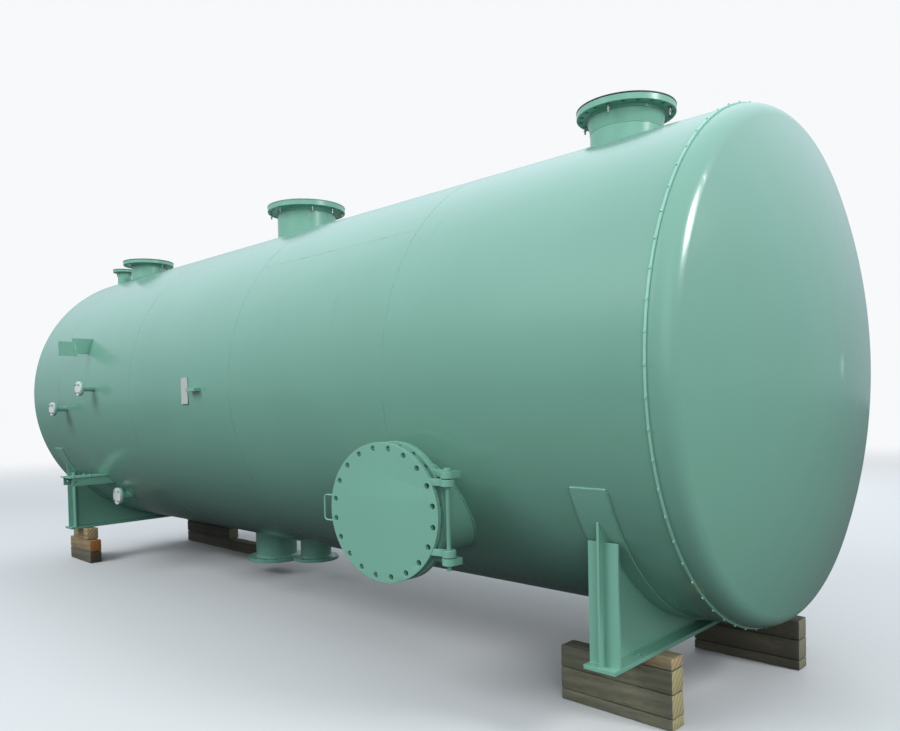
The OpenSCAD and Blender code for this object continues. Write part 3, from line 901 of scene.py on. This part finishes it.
class TANK_OT_saddle_welds(Operator):
    """Beads that join the saddles' plates to each other and to the shell"""

    bl_idname = "tank.saddle_welds"
    bl_label = "Saddle welds"

    # half the widths of a wear plate and of a web, and where a rib starts and ends beside its web
    WEAR_HALF = 0.114
    WEB_HALF = 0.009
    RIB_IN, RIB_OUT = 0.012, 0.094
    RIB_THICK = 0.016
    # half the bead along a wear plate's top, and how far other beads stop short of their ends
    TOP_HALF = 0.112
    SHORT = 0.004
    # how far the beads' middles lie off the shell and off a wear plate
    OFF_SHELL, OFF_WEAR = 0.004, 0.001

    def execute(self, context):
        small = context.scene.tank_welds.small
        wide = small * 1.2
        low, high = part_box("wear_plates")
        wear_r = AXIS_Z - low.z
        web_low, web_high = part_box("saddle_webs")
        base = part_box("saddle_bases")[1].z
        rib_low, rib_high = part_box("saddle_ribs")
        ribs = (rib_low.y, rib_low.y + self.RIB_THICK, rib_high.y - self.RIB_THICK, rib_high.y)
        beads = []
        for index, x in enumerate((low.x + self.WEAR_HALF, high.x - self.WEAR_HALF)):
            for side in (-1, 1):
                seed = 71 + 10 * index + side
                rim = x + side * self.WEAR_HALF
                line = circle_line(
                    at(rim, 0, 0), ALONG_X, SHELL_R + self.OFF_SHELL, SHELL_STEPS,
                    lambda co: co.z < high.z - self.SHORT,
                )
                beads.append(thickened(line, wide, seed))
                web = x + side * self.WEB_HALF
                line = circle_line(
                    at(web, 0, 0), ALONG_X, wear_r + self.OFF_WEAR, SHELL_STEPS,
                    lambda co: abs(co.y - AXIS_Y) < web_high.y - AXIS_Y - 0.002 and co.z < AXIS_Z,
                )
                beads.append(thickened(line, small, seed + 2))
                y = AXIS_Y + side * math.sqrt(SHELL_R ** 2 - (AXIS_Z - high.z) ** 2)
                line = straight_line(
                    (x - self.TOP_HALF, y, high.z), (x + self.TOP_HALF, y, high.z), 12
                )
                beads.append(thickened(line, wide, seed + 3))
                start, end = web_low.y + self.SHORT, web_high.y - self.SHORT
                line = straight_line((web, start, base), (web, end, base), 140)
                beads.append(thickened(line, small, seed + 4))
                for y in ribs:
                    start = (x + side * self.RIB_IN, y, base)
                    end = (x + side * self.RIB_OUT, y, base)
                    beads.append(thickened(straight_line(start, end, 5), small * 0.8, seed + 5))
        welded(beads, "saddle_beads")
        return {"FINISHED"}


class TANK_OT_lids(Operator):
    """The sheet over each top flange, with the few bolts that hold it"""

    bl_idname = "tank.lids"
    bl_label = "Top lids"

    # nozzle, finish of its lid, and how many bolts hold it
    LIDS = (
        ("top_a", "dark", 4), ("top_b", "lid_grey", 8), ("top_c", "lid_green", 4), ("top_d", "lid_green", 2),
    )
    # how far outside its flange a lid may reach
    REACH = 0.02
    # gap between a bolt and its hole, and how far a bolt hangs below its flange
    BOLT_GAP = 0.002
    BOLT_END = 0.030
    # width of a lid's eased edges
    EDGE = 0.002

    def execute(self, context):
        bolt_r = context.scene.tank_fasteners.lid_bolt
        bolts = []
        for name, key, count in self.LIDS:
            low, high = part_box(name + "_flange")
            sheet = merged_node("top_lids")
            cut_away(sheet, lambda v: not low.x - self.REACH < v.co.x < high.x + self.REACH)
            eased(sheet, self.EDGE)
            finished(sheet, name + "_lid", key, "dark_cover", ("top_lids",), smooth=FLAT_SMOOTH)
            mount = MOUNTS[name + "_bolts"]
            circle, holes = bolt_circle(mount)
            radius = min(bolt_r, mount["dims"]["hole_r_mm"] / 1000 - self.BOLT_GAP)
            bolt = self.bolt(Vector(mount["pos_m"]), radius, mount["pos_m"][2] - low.z)
            for index in range(count):
                x, y = hole_way(round(index * holes / count), holes)
                bolts.append(copied(bolt, (circle * x, circle * y, 0)))
            bpy.data.objects.remove(bolt)
        finished(joined(bolts), "lid_bolts", "zinc", "bare_plate")
        return {"FINISHED"}

    def bolt(self, top, radius, depth):
        """A bolt through a flange: it starts at the flange's face, and its end and nut hang below."""
        length = depth + self.BOLT_END
        shank = rod(top - Vector((0, 0, length / 2)), radius, length, UPRIGHT)
        nut = hex_nut(top - Vector((0, 0, depth + radius * 0.8)), radius, UPRIGHT)
        return joined([shank, nut])


class TANK_OT_side_studs(Operator):
    """Studs with a nut at each end through the blind discs of the side nozzles"""

    bl_idname = "tank.side_studs"
    bl_label = "Side studs"

    def execute(self, context):
        radius = context.scene.tank_fasteners.side_stud
        studs = []
        for mount in SIDE_MOUNTS:
            x, y, z = mount["pos_m"]
            depth = side_nozzle(mount)[1]
            circle, holes = bolt_circle(mount)
            for index in range(holes):
                across, up = hole_way(index, holes)
                place = Vector((x + circle * across, y, z + circle * up))
                studs.append(self.stud(place, radius, depth))
        finished(joined(studs), "side_studs", "zinc", "bare_plate")
        return {"FINISHED"}

    def stud(self, place, radius, depth):
        bar = rod(place + Vector((0, depth / 2, 0)), radius, depth + radius * 4.6, ALONG_Y)
        outer = hex_nut(place - Vector((0, radius * 0.8, 0)), radius, ALONG_Y)
        inner = hex_nut(place + Vector((0, depth + radius * 0.8, 0)), radius, ALONG_Y)
        return joined([bar, outer, inner])


class TANK_OT_small_fasteners(Operator):
    """Rivets of the two plates and the bolts on the shelf"""

    bl_idname = "tank.small_fasteners"
    bl_label = "Rivets and shelf bolts"

    # distance of the rivets from the edges of the name plate and of the label
    NAME_MARGIN = 0.018
    LABEL_MARGIN = 0.010
    # distance of the shelf's bolts from its ends, and of their two rows from its outer edge
    SHELF_ENDS = 0.060
    SHELF_ROWS = (0.060, 0.240)
    # radius of the shelf's nuts and of the bolt ends in them, and height of their middles
    SHELF_NUT, NUT_UP = 0.0085, 0.0062
    SHELF_BOLT, BOLT_UP = 0.0075, 0.012

    def execute(self, context):
        radius = context.scene.tank_fasteners.rivet
        low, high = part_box("name_plate")
        heads = []
        for y in (low.y + self.NAME_MARGIN, high.y - self.NAME_MARGIN):
            for z in (low.z + self.NAME_MARGIN, high.z - self.NAME_MARGIN):
                heads.append(self.rivet(Vector((high.x, y, z)), ALONG_X, radius))
        finished(joined(heads), "name_plate_rivets", "fitting", "green_paint")
        low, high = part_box("label_plate")
        heads = []
        for x in (low.x + self.LABEL_MARGIN, high.x - self.LABEL_MARGIN):
            for z in (low.z + self.LABEL_MARGIN, high.z - self.LABEL_MARGIN):
                heads.append(self.rivet(Vector((x, low.y, z)), ALONG_Y, radius * 0.7))
        finished(joined(heads), "label_rivets", "plate", "bare_plate")
        low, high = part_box("shelf_plate")
        bolts = []
        for x in (low.x + self.SHELF_ENDS, high.x - self.SHELF_ENDS):
            for row in self.SHELF_ROWS:
                place = Vector((x, low.y + row, high.z))
                bolts.append(hex_nut(place + Vector((0, 0, self.NUT_UP)), self.SHELF_NUT, UPRIGHT))
                bolts.append(self.rivet(place + Vector((0, 0, self.BOLT_UP)), UPRIGHT, self.SHELF_BOLT))
        finished(joined(bolts), "shelf_bolts", "fitting", "green_paint")
        return {"FINISHED"}

    def rivet(self, place, turn, radius):
        """Domed head: half a ball, pressed flatter."""
        clear()
        bpy.ops.mesh.primitive_uv_sphere_add(segments=16, ring_count=8, radius=radius, location=(0, 0, 0))
        head = bpy.context.object
        edit(head)
        bpy.ops.mesh.bisect(
            plane_co=(0, 0, -radius * 0.15), plane_no=(0, 0, 1), clear_inner=True, use_fill=True
        )
        bpy.ops.mesh.select_all(action="SELECT")
        bpy.ops.transform.resize(value=(1, 1, 0.6))
        leave_edit()
        head.location = place
        head.rotation_euler = turn
        return head


class TANK_OT_timbers(Operator):
    """Each timber on its own, with worn corners and uneven sawn faces"""

    bl_idname = "tank.timbers"
    bl_label = "Timbers"

    # size of the hollows, and the length between two cuts round a timber
    HOLLOW = 0.16
    STEP = 0.06

    def execute(self, context):
        settings = context.scene.tank_timber
        hollows = bpy.data.textures.new("sawn_hollows", "CLOUDS")
        hollows.noise_scale = self.HOLLOW
        hollows.noise_depth = 2
        for name in ("timbers_lowest", "timbers_lower", "timbers_upper", "timber_blocks"):
            only(merged_node(name))
            bpy.ops.mesh.separate(type="LOOSE")
            logs = sorted(bpy.context.selected_objects, key=lambda o: tuple(o.data.vertices[0].co.xy))
            for index, log in enumerate(logs):
                self.wear(log, settings, hollows)
                middle = sum((Vector(c) for c in log.bound_box), Vector()) / 8
                key = self.finish_of(middle, name)
                finished(log, f"{name}_{index + 1}", key, "timber", (name,), smooth=40)
        return {"FINISHED"}

    def finish_of(self, middle, name):
        """Finish of a timber, by its pile and its layer."""
        # the piles on the far side of the tank take the darkest timber
        if middle.y > AXIS_Y:
            return "timber_far_dark"
        if middle.x > 0:
            return "timber" if name == "timber_blocks" else "timber_grey"
        # the lowest layer on the near left takes a darker timber
        return {"timbers_lowest": "timber_low_dark", "timbers_lower": "timber_orange"}.get(name, "timber")

    def wear(self, log, settings, hollows):
        eased(log, settings.corner, clamp=True)
        xs = [v.co.x for v in log.data.vertices]
        low, high = min(xs), max(xs)
        steps = max(4, round((high - low) / self.STEP))
        for step in range(1, steps):
            edit(log)
            x = low + (high - low) * step / steps
            bpy.ops.mesh.bisect(plane_co=(x, 0, 0), plane_no=(1, 0, 0))
        bpy.ops.mesh.select_all(action="SELECT")
        bpy.ops.mesh.subdivide(number_cuts=1)
        leave_edit()
        apply_modifier(
            log, "DISPLACE", texture=hollows, strength=settings.wear, mid_level=1.0,
            texture_coords="GLOBAL",
        )


class TANK_OT_stage(Operator):
    """Pale floor, soft lamps, even sky and the camera"""

    bl_idname = "tank.stage"
    bl_label = "Stage"

    # name, place, size, setting that holds its power, and the share of it
    LAMPS = (
        ("side_lamp", (-4.0, -13.0, 12.0), 9.0, "side_power", 1.0),
        ("corner_lamp", (13.0, -9.0, 6.5), 8.0, "corner_power", 1.0),
        ("end_lamp", (17.1, 2.4, 11.2), 3.6, "end_power", 1.0),
        ("back_lamp", (-3.0, 13.0, 10.0), 9.0, "side_power", 0.5),
    )
    # the floor fades into the background between these distances
    FADE = (9.0, 26.0)
    # share of the floor's colour that other rays than the camera's meet
    BOUNCE = 0.12
    # how much of the faded floor glossy rays look through
    GLOSS_THROUGH = 0.35
    BACKGROUND = (0.93, 0.945, 0.955, 1.0)
    # at the horizon and overhead: the light, and what glossy paint shows
    SKY_LIGHT = ((0.50, 0.55, 0.61), (0.84, 0.93, 1.0))
    SKY_SHINE = ((0.22, 0.26, 0.29), (0.80, 0.92, 1.0))
    # the camera's heading, tilt and roll, its place from the middle of the tank, and its lens
    HEADING, TILT, ROLL = 2.33626, -0.02662, -0.02203
    CAMERA_PLACE = (6.0836, -4.8715, -0.1530)
    LENS = 30.290
    SHIFT = (0.00163, 0.06119)

    def execute(self, context):
        settings = context.scene.tank_stage
        self.floor(settings)
        self.lamps(settings)
        self.sky(context, settings)
        self.camera(context)
        context.scene.view_settings.view_transform = "Standard"
        return {"FINISHED"}

    def floor(self, settings):
        clear()
        bpy.ops.mesh.primitive_circle_add(vertices=96, radius=70, fill_type="NGON", location=(0, 0, -0.001))
        floor = bpy.context.object
        floor.name = "studio_floor"
        material, tree, shader = new_material("studio_floor")
        place = node(tree, "ShaderNodeTexCoord", (-900, 0))
        length = node(tree, "ShaderNodeVectorMath", (-700, 0), operation="LENGTH")
        link(tree, place, "Object", length, "Vector")
        fade = ramp(tree, (-500, 0), *self.FADE)
        link(tree, length, "Value", fade, "Value")
        path = node(tree, "ShaderNodeLightPath", (-500, -300))
        some = worked_out(
            tree, (-400, -450), "MULTIPLY", path.outputs["Is Glossy Ray"], self.GLOSS_THROUGH
        )
        seen = worked_out(tree, (-250, -300), "MAXIMUM", path.outputs["Is Camera Ray"], some)
        both = worked_out(tree, (-50, -100), "MULTIPLY", fade.outputs["Result"], seen)
        pale = tuple(settings.floor)
        camera_ray = path.outputs["Is Camera Ray"]
        colour = mix_colour(tree, (100, 300), times(pale, self.BOUNCE), pale, camera_ray)
        feed(colour, shader, "Base Color")
        shader.inputs["Roughness"].default_value = 0.9
        clear_floor = node(tree, "ShaderNodeBsdfTransparent", (500, -500))
        mixed = node(tree, "ShaderNodeMixShader", (800, -200))
        leave = tree.nodes["Material Output"]
        leave.location = (1050, 0)
        feed(both, mixed, 0)
        link(tree, shader, "BSDF", mixed, 1)
        link(tree, clear_floor, "BSDF", mixed, 2)
        link(tree, mixed, "Shader", leave, "Surface")
        floor.data.materials.append(material)

    def lamps(self, settings):
        for name, place, size, power, share in self.LAMPS:
            bpy.ops.object.light_add(type="AREA", location=place)
            lamp = bpy.context.object
            lamp.name = name
            lamp.data.energy = getattr(settings, power) * share
            lamp.data.size = size
            lamp.visible_glossy = name == "end_lamp"
            aim = Vector((0.0, 0.0, AXIS_Z)) - Vector(place)
            lamp.rotation_euler = aim.to_track_quat("-Z", "Y").to_euler()

    def sky(self, context, settings):
        world = bpy.data.worlds.new("studio_sky")
        context.scene.world = world
        world.use_nodes = True
        tree = world.node_tree
        tree.nodes.clear()
        place = node(tree, "ShaderNodeTexCoord", (-900, 0))
        split = node(tree, "ShaderNodeSeparateXYZ", (-700, 0))
        link(tree, place, "Generated", split, "Vector")
        rise = ramp(tree, (-500, 0), -0.05, 0.85)
        link(tree, split, "Z", rise, "Value")
        light = mix_colour(tree, (-250, 0), *self.SKY_LIGHT, rise.outputs["Result"])
        lit = node(tree, "ShaderNodeBackground", (0, 0), Strength=settings.sky)
        feed(light, lit, "Color")
        shine = mix_colour(tree, (-250, -300), *self.SKY_SHINE, rise.outputs["Result"])
        glossy = node(tree, "ShaderNodeBackground", (0, -300), Strength=settings.gloss_sky)
        feed(shine, glossy, "Color")
        seen = node(tree, "ShaderNodeBackground", (0, -500), Strength=1.0, Color=self.BACKGROUND)
        path = node(tree, "ShaderNodeLightPath", (-250, 300))
        mirrored = node(tree, "ShaderNodeMixShader", (300, 0))
        mixed = node(tree, "ShaderNodeMixShader", (500, 0))
        leave = node(tree, "ShaderNodeOutputWorld", (700, 0))
        link(tree, path, "Is Glossy Ray", mirrored, 0)
        link(tree, lit, "Background", mirrored, 1)
        link(tree, glossy, "Background", mirrored, 2)
        link(tree, path, "Is Camera Ray", mixed, 0)
        link(tree, mirrored, "Shader", mixed, 1)
        link(tree, seen, "Background", mixed, 2)
        link(tree, mixed, "Shader", leave, "Surface")

    def camera(self, context):
        level = math.cos(self.TILT)
        forward = Vector((
            level * math.cos(self.HEADING), level * math.sin(self.HEADING), math.sin(self.TILT)
        ))
        right = forward.cross(Vector((0, 0, 1))).normalized()
        up = right.cross(forward)
        turned = right * math.cos(self.ROLL) + up * math.sin(self.ROLL)
        upright = up * math.cos(self.ROLL) - right * math.sin(self.ROLL)
        bpy.ops.object.camera_add()
        camera = context.object
        camera.name = "photo_camera"
        basis = Matrix((turned, upright, -forward)).transposed().to_4x4()
        camera.matrix_world = Matrix.Translation(at(*self.CAMERA_PLACE)) @ basis
        camera.data.sensor_width = 36.0
        camera.data.lens = self.LENS
        camera.data.shift_x, camera.data.shift_y = self.SHIFT
        camera.data.clip_end = 300.0
        context.scene.camera = camera


class TANK_PT_panel(Panel):
    """Buttons that dress the tank piece by piece"""

    bl_idname = "TANK_PT_panel"
    bl_label = "Tank"
    bl_space_type = "VIEW_3D"
    bl_region_type = "UI"
    bl_category = "Tank"

    def draw(self, context):
        for operator in OPERATORS:
            self.layout.operator(operator.bl_idname)
        for group in (getattr(context.scene, name) for name in SETTINGS):
            for name in group.bl_rna.properties.keys():
                if name not in ("rna_type", "name"):
                    self.layout.prop(group, name)


OPERATORS = (
    TANK_OT_finishes, TANK_OT_plates, TANK_OT_seams, TANK_OT_nozzle_welds, TANK_OT_saddle_welds,
    TANK_OT_lids, TANK_OT_side_studs, TANK_OT_small_fasteners, TANK_OT_timbers, TANK_OT_stage,
)
SETTINGS = {
    "tank_paint": TANK_PG_paint,
    "tank_welds": TANK_PG_welds,
    "tank_fasteners": TANK_PG_fasteners,
    "tank_timber": TANK_PG_timber,
    "tank_stage": TANK_PG_stage,
}
CLASSES = (*SETTINGS.values(), *OPERATORS, TANK_PT_panel)


def register():
    for cls in CLASSES:
        bpy.utils.register_class(cls)
    for name, kind in SETTINGS.items():
        setattr(bpy.types.Scene, name, PointerProperty(type=kind))


def unregister():
    for name in SETTINGS:
        delattr(bpy.types.Scene, name)
    for cls in reversed(CLASSES):
        bpy.utils.unregister_class(cls)


def main():
    register()
    for operator in OPERATORS:
        group, name = operator.bl_idname.split(".")
        getattr(getattr(bpy.ops, group), name)()
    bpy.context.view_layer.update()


if __name__ == "__main__":
    main()
